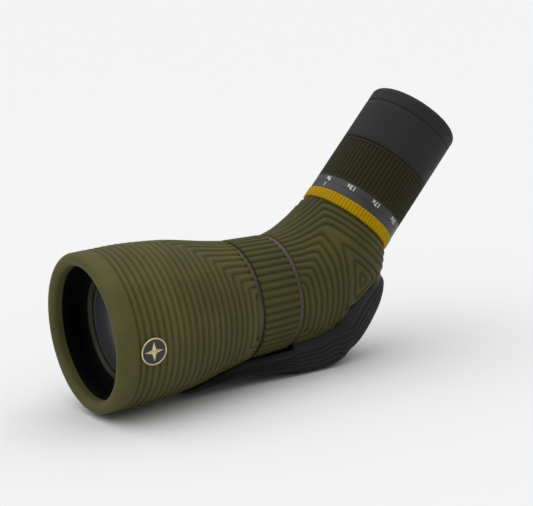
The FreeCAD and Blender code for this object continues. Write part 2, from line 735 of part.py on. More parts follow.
keep(turned("zoom_ring", [
    ("eye_tube_radius + 1.1", "index_end + 0.15"),
    ("eye_radius - 0.05", "index_end + 0.15"),
    ("eye_radius - 0.05", "band_end"),
    ("zoom_hub_radius", "band_end"),
    ("zoom_hub_radius", "grip_end"),
    ("eye_tube_radius + 1.1", "grip_end"),
], set_on_eyepiece), "zoom_ring")
keep(tube("zoom_grip", "zoom_hub_radius", "eye_radius - 0.4", "band_end", "grip_end",
          set_on_eyepiece), "zoom_grip")
keep(turned("zoom_cam", [
    ("eye_tube_radius + running_gap", "index_end + 0.4"),
    ("eye_tube_radius + 1.08", "index_end + 0.4"),
    ("eye_tube_radius + 1.08", "grip_end - 0.2"),
    ("eye_tube_radius + running_gap", "grip_end - 0.2"),
    ("eye_tube_radius + running_gap", "grip_end - 0.8"),
    ("eye_tube_radius + 0.65", "grip_end - 0.8"),
    ("eye_tube_radius + 0.65", "index_end + 2.6"),
    ("eye_tube_radius + running_gap", "index_end + 2.6"),
], set_on_eyepiece), "zoom_cam")
for side, start, angle, bends in (("front", "front_zoom_start", 0, ("-front_bend", "-front_bend")),
                                  ("rear", "rear_zoom_start", 90, ("front_bend", "front_bend"))):
    pins = group(f"{side}_pins", spokes(
        f"{side}_zoom_pin", "zoom_pin_radius", "eye_tube_radius + 0.55", f"{start} + 3",
        2, angle, set_on_eyepiece, "eye_tube_bore - 2"))
    blank = turned(f"{side}_zoom_blank", [
        ("zoom_lens_radius - 1", f"{start} + 1"),
        ("zoom_lens_radius - 1", f"{start}"),
        ("eye_tube_bore - running_gap", f"{start}"),
        ("eye_tube_bore - running_gap", f"{start} + zoom_carrier_length"),
        ("zoom_lens_radius", f"{start} + zoom_carrier_length"),
        ("zoom_lens_radius", f"{start} + 1"),
    ], set_on_eyepiece)
    keep(cut(f"{side}_zoom_drilled", blank, pins), f"{side}_zoom_carrier")
    keep(lens(f"{side}_zoom_glass", "zoom_lens_radius", f"{start} + 1.2", "3", bends[0], bends[1],
              set_on_eyepiece), f"{side}_zoom_lens")
    keep(pins, f"{side}_zoom_pins")

# Eye end: the eye lens in its cell, a retaining ring, and the guide tube that the eyecup
# rises on.

keep(turned("eye_lens_cell", [
    ("eye_lens_radius - 1", "82.1"),
    ("eye_tube_radius - 0.1", "82.1"),
    ("eye_tube_radius - 0.1", "91"),
    ("eye_lens_radius", "91"),
    ("eye_lens_radius", "84"),
    ("eye_lens_radius - 1", "83.8"),
], set_on_eyepiece), "eye_lens_cell")
keep(lens("eye_glass", "eye_lens_radius - 0.02", "84", "4.5", "middle_bend", "middle_bend",
          set_on_eyepiece), "eye_lens")
keep(turned("eye_lens_ring", [
    ("eye_lens_radius - 1", "88.8"),
    ("eye_lens_radius - 0.02", "88.8"),
    ("eye_lens_radius - 0.02", "90.6"),
    ("eye_lens_radius - 0.2", "90.6"),
], set_on_eyepiece), "eye_lens_ring")
keep(turned("eyecup_guide", [
    ("eye_tube_radius + 0.02", "grip_end + 0.3"),
    ("guide_radius", "grip_end + 0.3"),
    ("guide_radius", "91.4"),
    ("eye_lens_radius + 1", "91.4"),
    ("eye_lens_radius + 1", "91.1"),
    ("eye_tube_radius + 0.02", "91.1"),
], set_on_eyepiece), "eyecup_guide")

# Eyecup: a split glide ring slides up the guide tube, and the hard sleeve turns on it as
# it rises. The soft rubber cover ends in a rounded lip.

keep(tube("eyecup_glide_ring", "guide_radius + running_gap", "glide_radius", "74", "80",
          set_on_eyepiece), "eyecup_glide_ring")
keep(turned("eyecup_sleeve", [
    ("glide_radius + running_gap", "cup_start"),
    ("eye_radius - 0.8", "cup_start"),
    ("eye_radius - 0.8", "cup_end - 3"),
    ("17.5", "cup_end - 3"),
    ("17.5", "92"),
    ("glide_radius + running_gap", "92"),
], set_on_eyepiece), "eyecup_sleeve")
keep(turned("eyecup_rubber", [
    ("eye_radius - 0.8", "cup_start"),
    ("cup_radius", "cup_start"),
    ("cup_radius", "cup_end - 3"),
    ("cup_radius - 0.8", "cup_end - 1"),
    ("cup_radius - 2.6", "cup_end"),
    ("17.8", "cup_end"),
    ("16.6", "cup_end - 1.2"),
    ("16.6", "92"),
    ("17.5", "92"),
    ("17.5", "cup_end - 3"),
    ("eye_radius - 0.8", "cup_end - 3"),
], set_on_eyepiece), "eyecup_rubber")

doc.recompute()
faults = []
for thing in doc.Objects:
    if "Invalid" in thing.State or "Error" in thing.State:
        faults.append(f"{thing.Label}: {thing.State}")
for part in subparts:
    if part.Shape.isNull() or not part.Shape.isValid() or part.Shape.Volume <= 0:
        faults.append(f"{part.Label}: bad shape")
if faults:
    raise SystemExit("\n".join(faults))

os.makedirs("parts", exist_ok=True)
for part in subparts:
    part.Shape.exportStep(f"parts/{part.Label}.step")
    print(f"{part.Label}: {len(part.Shape.Solids)} solid(s), {part.Shape.Volume:.0f} mm3")
print(f"{len(subparts)} sub-parts")
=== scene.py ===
import math

import bmesh
import bpy
from mathutils import Matrix, Vector


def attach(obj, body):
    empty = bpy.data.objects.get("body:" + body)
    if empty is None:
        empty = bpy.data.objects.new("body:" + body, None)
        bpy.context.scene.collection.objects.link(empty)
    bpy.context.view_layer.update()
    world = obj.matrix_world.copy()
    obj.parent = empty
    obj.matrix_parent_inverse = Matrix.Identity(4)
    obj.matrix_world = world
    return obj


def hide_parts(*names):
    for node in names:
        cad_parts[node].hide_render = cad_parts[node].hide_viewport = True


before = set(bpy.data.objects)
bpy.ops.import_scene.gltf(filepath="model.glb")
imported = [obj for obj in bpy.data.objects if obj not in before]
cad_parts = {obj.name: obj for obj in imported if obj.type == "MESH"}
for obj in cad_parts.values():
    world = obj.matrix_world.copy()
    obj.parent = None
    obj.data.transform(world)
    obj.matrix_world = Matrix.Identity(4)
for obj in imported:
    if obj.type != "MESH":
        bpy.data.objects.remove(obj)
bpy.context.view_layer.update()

# Front barrel and baffle: a turned aluminium shell, black inside to kill stray light. It shows
# only as the dark throat of the hood, under the armour's rolled rim.


def anodised(name, colour, roughness, turned_lines=1400.0, metal=0.6):
    """Anodised aluminium: fine turning marks round its axis and a faint change of tone."""
    material = bpy.data.materials.new(name)
    material.use_nodes = True
    nodes, links = material.node_tree.nodes, material.node_tree.links
    skin = nodes["Principled BSDF"]
    skin.inputs["Metallic"].default_value = metal
    where = nodes.new("ShaderNodeTexCoord")
    tone = nodes.new("ShaderNodeTexNoise")
    tone.inputs["Scale"].default_value = 90
    tone.inputs["Detail"].default_value = 4
    links.new(where.outputs["Object"], tone.inputs["Vector"])
    shades = nodes.new("ShaderNodeValToRGB")
    shades.color_ramp.elements[0].position = 0.3
    shades.color_ramp.elements[0].color = (*(0.86 * part for part in colour), 1)
    shades.color_ramp.elements[1].position = 0.7
    shades.color_ramp.elements[1].color = (*(1.12 * part for part in colour), 1)
    links.new(tone.outputs["Fac"], shades.inputs["Fac"])
    links.new(shades.outputs["Color"], skin.inputs["Base Color"])
    marks = nodes.new("ShaderNodeTexNoise")
    marks.inputs["Scale"].default_value = turned_lines
    links.new(where.outputs["Object"], marks.inputs["Vector"])
    gloss = nodes.new("ShaderNodeMapRange")
    gloss.inputs["To Min"].default_value = roughness - 0.08
    gloss.inputs["To Max"].default_value = roughness + 0.08
    links.new(marks.outputs["Fac"], gloss.inputs["Value"])
    links.new(gloss.outputs["Result"], skin.inputs["Roughness"])
    bump = nodes.new("ShaderNodeBump")
    bump.inputs["Strength"].default_value = 0.12
    bump.inputs["Distance"].default_value = 0.00005
    links.new(marks.outputs["Fac"], bump.inputs["Height"])
    links.new(bump.outputs["Normal"], skin.inputs["Normal"])
    return material


def finish_nodes(material, *names):
    """Gives carried-over solids their material."""
    for name in names:
        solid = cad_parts[name]
        for material_slot in solid.material_slots:
            material_slot.material = material


flat_black = anodised("flat_black_lining", (0.0015, 0.0015, 0.0015), 0.85, metal=0.0)
flat_black.node_tree.nodes["Principled BSDF"].inputs["Specular IOR Level"].default_value = 0.12
black = anodised("black_anodised", (0.020, 0.020, 0.022), 0.42)
finish_nodes(flat_black, "front_barrel", "front_baffle")
finish_nodes(black, "middle_barrel")

# Objective: two air-spaced lenses in a black cell, held by a threaded ring that shows as a thin
# olive-brown line. The glass is coated and lets no light through: its dark colour is painted shade
# for the inside of the scope behind it, and its dull grey sheen, brighter where the glass is seen
# edge-on, is painted into its colour. Sizes are in millimetres, and places along the tube count back
# from the rim, on the TUBE matrix.

MM = 0.001
TUBE_HEIGHT = 38.3
RIM_PLACE = -104.0
TUBE = Matrix.Translation((RIM_PLACE * MM, 0, TUBE_HEIGHT * MM)) @ Matrix.Scale(MM, 4)

LENS_CROWN = 9.87
LENS_BACK = 15.3
LENS_BEND = 280
LENS_RINGS = (0, 5, 10, 15, 20, 24.98)


def coated_glass(name, tint, roughness):
    """Optical glass with an anti-reflection coating. It lets no light through: its dark tint is
    painted shade for the dark inside behind it, and a grey sheen painted into its colour brightens it
    where it is seen edge-on.
    """
    material = bpy.data.materials.new(name)
    material.use_nodes = True
    nodes, links = material.node_tree.nodes, material.node_tree.links
    skin = nodes["Principled BSDF"]
    skin.inputs["Transmission Weight"].default_value = 0.0
    skin.inputs["IOR"].default_value = 1.52
    skin.inputs["Coat Weight"].default_value = 0.35
    skin.inputs["Coat Roughness"].default_value = 0.04
    skin.inputs["Coat IOR"].default_value = 1.4
    where = nodes.new("ShaderNodeTexCoord")
    haze = nodes.new("ShaderNodeTexNoise")
    haze.inputs["Scale"].default_value = 40
    links.new(where.outputs["Object"], haze.inputs["Vector"])
    # Painted sheen: the colour runs from the dark tint where the glass faces the viewer to a lighter
    # grey where it is seen edge-on.
    facing = nodes.new("ShaderNodeLayerWeight")
    facing.inputs["Blend"].default_value = 0.35
    painted_sheen = nodes.new("ShaderNodeValToRGB")
    painted_sheen.color_ramp.elements[0].color = (*tint, 1)
    painted_sheen.color_ramp.elements[1].color = (0.06, 0.055, 0.07, 1)
    links.new(facing.outputs["Facing"], painted_sheen.inputs["Fac"])
    links.new(painted_sheen.outputs["Color"], skin.inputs["Base Color"])
    polish = nodes.new("ShaderNodeMapRange")
    polish.inputs["To Min"].default_value = roughness * 0.7
    polish.inputs["To Max"].default_value = roughness * 1.4
    links.new(haze.outputs["Fac"], polish.inputs["Value"])
    links.new(polish.outputs["Result"], skin.inputs["Roughness"])
    return material


def fit(bm, name, place, material, body, finish, *stands_for):
    """Sets a mesh in its place and makes it a piece on its body, with its material."""
    bmesh.ops.transform(bm, matrix=place, verts=bm.verts)
    for face in bm.faces:
        face.smooth = True
    mesh = bpy.data.meshes.new(name)
    bm.to_mesh(mesh)
    bm.free()
    mesh.materials.append(material)
    piece = bpy.data.objects.new(name, mesh)
    bpy.context.scene.collection.objects.link(piece)
    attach(piece, body)
    if stands_for:
        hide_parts(*stands_for)
    return piece


lens_glass = coated_glass("coated_glass", (0.036, 0.036, 0.037), 0.22)
finish_nodes(lens_glass, "objective_rear_lens")
finish_nodes(flat_black, "objective_cell", "objective_spacer")
ring_brown = anodised("retaining_ring_finish", (0.030, 0.028, 0.008), 0.5, metal=0.2)
finish_nodes(ring_brown, "objective_retaining_ring")

lens = bmesh.new()
outline = [(LENS_CROWN + radius * radius / LENS_BEND, radius) for radius in LENS_RINGS]
outline += [(LENS_BACK, LENS_RINGS[-1]), (LENS_BACK, 0)]
dots = [lens.verts.new((place, 0, radius)) for place, radius in outline]
for pair in zip(dots, dots[1:]):
    lens.edges.new(pair)
bmesh.ops.spin(lens, geom=lens.verts[:] + lens.edges[:], cent=(0, 0, 0), axis=(1, 0, 0),
               angle=math.tau, steps=128, use_merge=True)
bmesh.ops.remove_doubles(lens, verts=lens.verts, dist=0.0001)
bmesh.ops.recalc_face_normals(lens, faces=lens.faces)
front_lens = fit(lens, "domed_front_lens", TUBE, lens_glass, "scope_body", "coated_glass",
                 "objective_front_lens")
for polygon in front_lens.data.polygons:
    polygon.use_smooth = polygon.center.x < (RIM_PLACE + LENS_BACK - 0.3) * MM

# Front armour: a thick olive rubber sleeve moulded over the flared front barrel. Its rim rolls
# over the barrel's edge, and its ribs run round the hood and turn back along the top and belly.

RIM_RADIUS = 36.4
MOUTH_RADIUS = 30.5
LIP_FRONT = -5.2
LIP_ROUND = 2.9
THROAT_BACK = 7.0
ARMOUR_END = 70.4
ARMOUR_END_RADIUS = 28.6
BARREL_CURVE = ((3.2, RIM_RADIUS), (18, RIM_RADIUS), (31, 35.5), (43, 34.0), (60.5, 30.4),
                (ARMOUR_END, ARMOUR_END_RADIUS))
ROUND_RIBS_START = 4.0
ROUND_RIBS_END = 70.0
ROUND_RIB_PITCH = 3.2
LAST_ROUND_RIB = 72.0
LENGTHWISE_RIBS = ((-90, 9.5), (-45, 3.0), (-7.2, -2.25), (66.6, 8.0), (90, 11.5))
RIB_DEPTH = 0.82
NOTCH_DEPTH = 0.9


def between(points, place):
    """Reads a line of straight runs through (place, size) points."""
    for (start, low), (end, high) in zip(points, points[1:]):
        if place <= end:
            return low + (high - low) * max(0.0, (place - start) / (end - start))
    return points[-1][1]


def faired(points, place):
    """Reads a smooth curve through (place, size) points."""
    last = len(points) - 1
    for i in range(last):
        (start, low), (end, high) = points[i], points[i + 1]
        if place > end and i < last - 1:
            continue
        before, after = points[max(i - 1, 0)], points[min(i + 2, last)]
        run = end - start
        share = min(max((place - start) / run, 0.0), 1.0)
        lean_in = (high - before[1]) / (end - before[0]) * run
        lean_out = (after[1] - low) / (after[0] - start) * run
        bend = share * share * (3 - 2 * share)
        return (low + (high - low) * bend
                + lean_in * share * (1 - share) ** 2 - lean_out * share * share * (1 - share))


def eased(start, end, place):
    """0 before start, 1 after end, and smooth between."""
    share = min(max((place - start) / (end - start), 0.0), 1.0)
    return share * share * (3 - 2 * share)


def softer(first, second, reach):
    """The larger of two counts, with a rounded corner where they cross."""
    return (first + second + math.sqrt((first - second) ** 2 + reach * reach)) / 2


def sunk(count):
    """0 on a rib's crest and 1 in the groove beside it. Grooves lie at whole counts."""
    return (2 * (count % 1) - 1) ** 2


def lathe(outline, steps):
    """Turns a closed outline right round the X axis. Each point is its place along the axis,
    its radius, and the cuts that the edge leaving it gets."""
    bm = bmesh.new()
    dots = [bm.verts.new((place, 0, radius)) for place, radius, cuts in outline]
    edges = [bm.edges.new(pair) for pair in zip(dots, dots[1:] + dots[:1])]
    for edge, (place, radius, cuts) in zip(edges, outline):
        if cuts:
            bmesh.ops.subdivide_edges(bm, edges=[edge], cuts=cuts)
    bmesh.ops.spin(bm, geom=bm.verts[:] + bm.edges[:], cent=(0, 0, 0), axis=(1, 0, 0),
                   angle=math.tau, steps=steps, use_merge=True)
    bmesh.ops.remove_doubles(bm, verts=bm.verts, dist=0.0001)
    bmesh.ops.recalc_face_normals(bm, faces=bm.faces)
    return bm


def round_over(bm, rings, segments=3):
    """Rounds the turned edges at these places: each is (place, radius, width)."""
    for place, radius, width in rings:
        ring = []
        for edge in bm.edges:
            if all(abs(v.co.x - place) < 0.01 and abs(math.hypot(v.co.y, v.co.z) - radius) < 0.01
                   for v in edge.verts):
                ring.append(edge)
        bmesh.ops.bevel(bm, geom=ring, offset=width, offset_type="OFFSET", affect="EDGES",
                        segments=segments, profile=0.5, material=-1, clamp_overlap=True)


def set_radius(vert, radius):
    """Moves a point of a turned piece to another radius."""
    scale = radius / math.hypot(vert.co.y, vert.co.z)
    vert.co.y *= scale
    vert.co.z *= scale


def rubber(name, crest, groove, roughness, mottle=0.16, gloss_level=0.12):
    """Moulded rubber: a fine stippled skin, with painted shade that darkens its colour down in its
    grooves, and faint cloudy wear that changes its colour and gloss."""
    material = bpy.data.materials.new(name)
    material.use_nodes = True
    nodes, links = material.node_tree.nodes, material.node_tree.links
    skin = nodes["Principled BSDF"]
    where = nodes.new("ShaderNodeTexCoord")
    clouds = nodes.new("ShaderNodeTexNoise")
    clouds.inputs["Scale"].default_value = 55
    clouds.inputs["Detail"].default_value = 5
    links.new(where.outputs["Object"], clouds.inputs["Vector"])
    stipple = nodes.new("ShaderNodeTexNoise")
    stipple.inputs["Scale"].default_value = 2600
    stipple.inputs["Detail"].default_value = 2
    links.new(where.outputs["Object"], stipple.inputs["Vector"])

    # Painted shade: the sunk attribute, 1 down in a groove, mixes the crest colour towards the darker
    # groove colour.
    depth = nodes.new("ShaderNodeAttribute")
    depth.attribute_name = "sunk"
    painted_groove_shade = nodes.new("ShaderNodeMix")
    painted_groove_shade.data_type = "RGBA"
    painted_groove_shade.inputs["A"].default_value = (*crest, 1)
    painted_groove_shade.inputs["B"].default_value = (*groove, 1)
    links.new(depth.outputs["Fac"], painted_groove_shade.inputs["Factor"])
    cloud_range = nodes.new("ShaderNodeMapRange")
    cloud_range.inputs["From Min"].default_value = 0.3
    cloud_range.inputs["From Max"].default_value = 0.7
    cloud_range.inputs["To Min"].default_value = 1 - mottle
    cloud_range.inputs["To Max"].default_value = 1 + mottle
    links.new(clouds.outputs["Fac"], cloud_range.inputs["Value"])
    tone = nodes.new("ShaderNodeMix")
    tone.data_type = "RGBA"
    tone.blend_type = "MULTIPLY"
    tone.inputs["Factor"].default_value = 1
    links.new(painted_groove_shade.outputs["Result"], tone.inputs["A"])
    links.new(cloud_range.outputs["Result"], tone.inputs["B"])
    links.new(tone.outputs["Result"], skin.inputs["Base Color"])

    gloss = nodes.new("ShaderNodeMapRange")
    gloss.inputs["From Min"].default_value = 0.3
    gloss.inputs["From Max"].default_value = 0.7
    gloss.inputs["To Min"].default_value = roughness - 0.06
    gloss.inputs["To Max"].default_value = roughness + 0.06
    links.new(clouds.outputs["Fac"], gloss.inputs["Value"])
    links.new(gloss.outputs["Result"], skin.inputs["Roughness"])
    grain = nodes.new("ShaderNodeBump")
    grain.inputs["Strength"].default_value = 0.25
    grain.inputs["Distance"].default_value = 0.00008
    links.new(stipple.outputs["Fac"], grain.inputs["Height"])
    links.new(grain.outputs["Normal"], skin.inputs["Normal"])
    skin.inputs["Specular IOR Level"].default_value = gloss_level
    return material


def front_armour_count(place, height):
    """The rib count on the front armour at a place along it and a height angle up its side."""
    round_ribs = (LAST_ROUND_RIB - place) / ROUND_RIB_PITCH
    return softer(round_ribs, between(LENGTHWISE_RIBS, height), 0.5)


front = lathe([
    (THROAT_BACK, MOUTH_RADIUS, 0), (0.0, MOUTH_RADIUS, 0), (LIP_FRONT, MOUTH_RADIUS, 0),
    (LIP_FRONT, RIM_RADIUS, 0), (ROUND_RIBS_START, RIM_RADIUS, 165),
    (ROUND_RIBS_END, ARMOUR_END_RADIUS, 0), (ARMOUR_END, ARMOUR_END_RADIUS, 0),
    (ARMOUR_END, 26.4, 0), (60.5, 28.2, 0), (43.0, 31.8, 0), (26.0, 34.0, 0), (-1.5, 34.0, 0),
    (-1.5, 31.2, 0), (THROAT_BACK, 31.2, 0),
], 400)
# Painted shade: the sunk layer is 1 down in each groove, and there the olive rubber's colour is
# darkened to its groove colour.
groove = front.verts.layers.float.new("sunk")
taper = (RIM_RADIUS - ARMOUR_END_RADIUS) / (ROUND_RIBS_END - ROUND_RIBS_START)
for vert in front.verts:
    place, radius = vert.co.x, math.hypot(vert.co.y, vert.co.z)
    if place < ROUND_RIBS_START - 0.01 or place > ROUND_RIBS_END + 0.01:
        continue
    if abs(radius - (RIM_RADIUS - (place - ROUND_RIBS_START) * taper)) > 0.05:
        continue
    height = math.degrees(math.atan2(vert.co.z, abs(vert.co.y)))
    hollow = sunk(front_armour_count(place, height))
    hollow *= eased(ROUND_RIBS_START, ROUND_RIBS_START + 0.8, place)
    depth = RIB_DEPTH + NOTCH_DEPTH * eased(ROUND_RIBS_END - 1.4, ROUND_RIBS_END - 0.1, place)
    vert[groove] = hollow
    set_radius(vert, faired(BARREL_CURVE, place) - depth * hollow)
round_over(front, ((LIP_FRONT, RIM_RADIUS, LIP_ROUND), (LIP_FRONT, MOUTH_RADIUS, LIP_ROUND)),
           segments=8)
for face in front.faces:
    centre = face.calc_center_median()
    if 0.0 < centre.x < THROAT_BACK + 0.1 and math.hypot(centre.y, centre.z) < 31.3:
        face.material_index = 1
olive = rubber("olive_rubber", (0.084, 0.081, 0.025), (0.046, 0.043, 0.010), 0.6)
armour = fit(front, "ribbed_front_armour", TUBE, olive, "scope_body", "olive_rubber",
             "front_armour")
armour.data.materials.append(flat_black)

seal_rubber = rubber("seal_rubber", (0.014, 0.014, 0.014), (0.008, 0.008, 0.008), 0.5)
finish_nodes(seal_rubber, "objective_seal")

# Badge: a dark enamel disc in a gilt rim, glued in a recess on the left of the hood, with a
# raised four-point compass star. Its faces are cut so that each point has a ridge.

BADGE_STATION = 11.1
BADGE_DROP = 6.5
BADGE_RADIUS = 6.2
BADGE_RIM = 0.36
BADGE_RISE = 0.45
STAR_LONG = 4.5
STAR_SHORT = 1.35

badge_turn = Matrix.Rotation(math.radians(90 + BADGE_DROP), 4, "X")
badge_centre = Matrix.Translation(((RIM_PLACE + BADGE_STATION) * MM, 0, TUBE_HEIGHT * MM))
BADGE = badge_centre @ badge_turn @ Matrix.Translation((0, 0, RIM_RADIUS * MM)) @ Matrix.Scale(MM, 4)


gilt = anodised("gilt_metal", (0.66, 0.53, 0.27), 0.34, metal=0.75)
disc = bmesh.new()
bmesh.ops.create_circle(disc, cap_ends=True, radius=BADGE_RADIUS - 0.65, segments=72)
raised = bmesh.ops.extrude_face_region(disc, geom=disc.faces[:])
bmesh.ops.translate(disc, vec=(0, 0, 0.12),
                    verts=[v for v in raised["geom"] if isinstance(v, bmesh.types.BMVert)])
bmesh.ops.translate(disc, vec=(0, 0, -1.2), verts=[v for v in disc.verts if v.co.z < 0.05])
bmesh.ops.recalc_face_normals(disc, faces=disc.faces)
enamel = rubber("badge_enamel", (0.020, 0.020, 0.024), (0.014, 0.014, 0.018), 0.24, 0.1)
enamel.node_tree.nodes["Principled BSDF"].inputs["Coat Weight"].default_value = 0.6
enamel.node_tree.nodes["Principled BSDF"].inputs["Coat Roughness"].default_value = 0.08
badge_face = fit(disc, "badge_enamel_disc", BADGE, enamel, "scope_body", "badge_enamel",
                 "badge_plate")
for polygon in badge_face.data.polygons:
    polygon.use_smooth = False

rim = bmesh.new()
bmesh.ops.create_circle(rim, radius=BADGE_RIM, segments=12,
                        matrix=Matrix.Translation((BADGE_RADIUS - BADGE_RIM, 0, 0.05))
                        @ Matrix.Rotation(math.radians(90), 4, "X"))
bmesh.ops.spin(rim, geom=rim.verts[:] + rim.edges[:], cent=(0, 0, 0), axis=(0, 0, 1),
               angle=math.tau, steps=96, use_merge=True)
bmesh.ops.recalc_face_normals(rim, faces=rim.faces)
fit(rim, "badge_gilt_rim", BADGE, gilt, "scope_body", "gilt_metal", "badge_ring")

star = bmesh.new()
bmesh.ops.create_circle(star, cap_ends=True, radius=STAR_LONG, segments=8)
for corner in star.verts:
    if min(abs(corner.co.x), abs(corner.co.y)) > 0.5:
        corner.co *= STAR_SHORT / STAR_LONG
bmesh.ops.poke(star, faces=star.faces[:])
for corner in star.verts:
    if corner.co.length < 0.1:
        corner.co.z = BADGE_RISE
border = [edge for edge in star.edges if edge.is_boundary]
wall = bmesh.ops.extrude_edge_only(star, edges=border)
bmesh.ops.translate(star, vec=(0, 0, -0.3),
                    verts=[v for v in wall["geom"] if isinstance(v, bmesh.types.BMVert)])
bmesh.ops.holes_fill(star, edges=[edge for edge in star.edges if edge.is_boundary])
bmesh.ops.translate(star, vec=(0, 0, 0.22), verts=star.verts)
bmesh.ops.recalc_face_normals(star, faces=star.faces)
star_piece = fit(star, "badge_compass_star", BADGE, gilt, "scope_body", "gilt_metal", "badge_star")
for polygon in star_piece.data.polygons:
    polygon.use_smooth = False

# Trim rings: two narrow brown anodised rings, one on each side of the focus grip, that
# the ends of the ribs run up against.

plum = anodised("plum_anodised", (0.060, 0.042, 0.036), 0.44, metal=0.35)
finish_nodes(plum, "front_trim_ring", "rear_trim_ring")

# Focus grip: a dark olive rubber band bonded to the focusing ring, with broad lengthwise ribs
# that taper with the barrel. The ring turns on the middle barrel and drives the focusing lens.

FOCUS_START = 73.0
FOCUS_END = 92.5
FOCUS_RIB_TURN = 7.5
FOCUS_RIB_FIRST = 9.9
FOCUS_RIB_DEPTH = 0.80
FOCUS_NOTCH_DEPTH = 0.65

grip = lathe([
    (FOCUS_START, 26.0, 0), (FOCUS_START, 28.4, 0), (FOCUS_START + 0.35, 28.4, 30),
    (FOCUS_END - 0.35, 27.52, 0), (FOCUS_END, 27.5, 0), (FOCUS_END, 26.0, 0),
], 480)
# Painted shade: the sunk layer darkens the grip's rubber towards its groove colour down between the
# ribs.
groove = grip.verts.layers.float.new("sunk")
for vert in grip.verts:
    place, radius = vert.co.x, math.hypot(vert.co.y, vert.co.z)
    if radius < 27:
        continue
    height = math.degrees(math.atan2(vert.co.z, -vert.co.y))
    hollow = sunk((height - FOCUS_RIB_FIRST) / FOCUS_RIB_TURN)
    from_end = min(place - FOCUS_START, FOCUS_END - place)
    vert[groove] = hollow
    depth = FOCUS_RIB_DEPTH + FOCUS_NOTCH_DEPTH * (1 - eased(0.0, 1.3, from_end))
    set_radius(vert, radius - depth * hollow - 0.3 * (1 - eased(0.0, 0.35, from_end)))
dark_olive = rubber("dark_olive_rubber", (0.062, 0.060, 0.017), (0.027, 0.026, 0.006), 0.6)
fit(grip, "ribbed_focus_grip", TUBE, dark_olive, "focus_ring", "dark_olive_rubber", "focus_grip")
finish_nodes(black, "focus_ring", "focus_carrier", "focus_drive_pins")
finish_nodes(seal_rubber, "focus_seals")
finish_nodes(lens_glass, "focusing_lens")

# Rear armour: olive rubber moulded over the magnesium prism housing, which bends the sight line
# up to the eyepiece. Its ribs nest round two sets of corners and close on a small island.

PIVOT_X = -9.2
PIVOT_Z = 106.2
ELBOW_AXIS = ((0, 67.9), (12, 67.4), (24, 66.1), (36, 64.2), (45, 60.75))
ELBOW_DEEP = ((0, 27.4), (12, 28.3), (24, 28.3), (36, 26.9), (45, 23.2))
ELBOW_WIDE = ((0, 27.39), (12, 28.0), (24, 27.7), (36, 26.4), (45, 23.19))
RING_PITCH = 3.12
RING_LEAN = 0.45
SIDE_FIRST = 28.7
SIDE_PITCH = 6.85
SIDE_LEAN = 0.33
SIDE_MIDDLE = -10.5
COLLAR_LAST = 0.45
COLLAR_PITCH = 2.93
ISLAND_TOP = 14.0
ISLAND_TOP_PITCH = 2.75
ISLAND_LOW = -36
ISLAND_LOW_PITCH = 7
REAR_RIB_DEPTH = 0.92
REAR_NOTCH_DEPTH = 0.65
ISLAND_SIDE = ((24.4, 8), (29.0, 9), (31.5, 10), (34.5, 11), (60, 19))
SKIN = 2.2
OUTER = 30.0


def on_elbow(turn, inward, across, inset):
    """A point of the elbow: turn round the pivot in degrees, and the inward and across parts of
    its direction from the elbow's centre line."""
    reach = faired(ELBOW_AXIS, turn) - (faired(ELBOW_DEEP, turn) - inset) * inward
    swing = math.radians(turn)
    return Vector((PIVOT_X + reach * math.sin(swing), (faired(ELBOW_WIDE, turn) - inset) * across,
                   PIVOT_Z - reach * math.cos(swing))), reach


def rear_armour_count(turn, height, reach):
    """The rib count on the rear armour at a turn and a height angle up its side. Ribs 1 to 7 run
    back from the trim ring and turn down, 8 to 11 turn along the collar, and the island counts
    up from 8 again."""
    from_ring = reach * math.sin(math.radians(turn))
    from_collar = reach * math.sin(math.radians(45 - turn))
    corner = 12 + 1.9 * from_ring
    pitch = RING_PITCH - RING_LEAN * eased(corner - 38, corner + 6, height)
    along = between(ISLAND_SIDE, from_ring) if from_ring > ISLAND_SIDE[0][0] else from_ring / pitch
    sides = 1 + (abs(height - SIDE_MIDDLE) + SIDE_LEAN * turn - SIDE_FIRST) / SIDE_PITCH
    collar = 11 - (from_collar - COLLAR_LAST) / COLLAR_PITCH
    inner = 8 - softer((ISLAND_TOP - from_collar) / ISLAND_TOP_PITCH,
                       (ISLAND_LOW - height) / ISLAND_LOW_PITCH, 0.7)
    island = -softer(-along, -max(7.5, inner), 0.7)
    return softer(softer(sides, collar, 0.6), island, 0.6)


elbow = lathe([
    (0.0, OUTER, 0), (0.3, OUTER, 158), (44.7, OUTER, 0), (45.0, OUTER, 0),
    (45.0, OUTER - SKIN, 24), (0.0, OUTER - SKIN, 0),
], 440)
# Painted shade: the sunk layer darkens the rear armour's rubber towards its groove colour down in
# each groove.
groove = elbow.verts.layers.float.new("sunk")
for vert in elbow.verts:
    turn, radius = vert.co.x, math.hypot(vert.co.y, vert.co.z)
    inward, across = vert.co.z / radius, vert.co.y / radius
    inset = OUTER - radius
    if inset < 0.1:
        height = math.degrees(math.atan2(inward, abs(across)))
        reach = on_elbow(turn, inward, across, 0)[1]
        hollow = sunk(rear_armour_count(turn, height, reach))
        from_end = min(turn, 45 - turn)
        depth = REAR_RIB_DEPTH + REAR_NOTCH_DEPTH * (1 - eased(0.0, 1.3, turn))
        vert[groove] = hollow
        inset += depth * hollow + 0.35 * (1 - eased(0.0, 0.4, from_end))
    vert.co = on_elbow(turn, inward, across, inset)[0]
bmesh.ops.recalc_face_normals(elbow, faces=elbow.faces)
# The rear armour's rubber is a darker copy of the front armour's olive rubber.
rear_olive = rubber("rear_olive_rubber", (0.066, 0.064, 0.018), (0.036, 0.034, 0.007), 0.6)
fit(elbow, "ribbed_rear_armour", Matrix.Scale(MM, 4), rear_olive, "scope_body", "olive_rubber",
    "rear_armour")

# Prism housing: a black-painted magnesium casting with the roof prism, its bracket, its clamp
# spring and its screws inside. None of it shows on the closed scope.

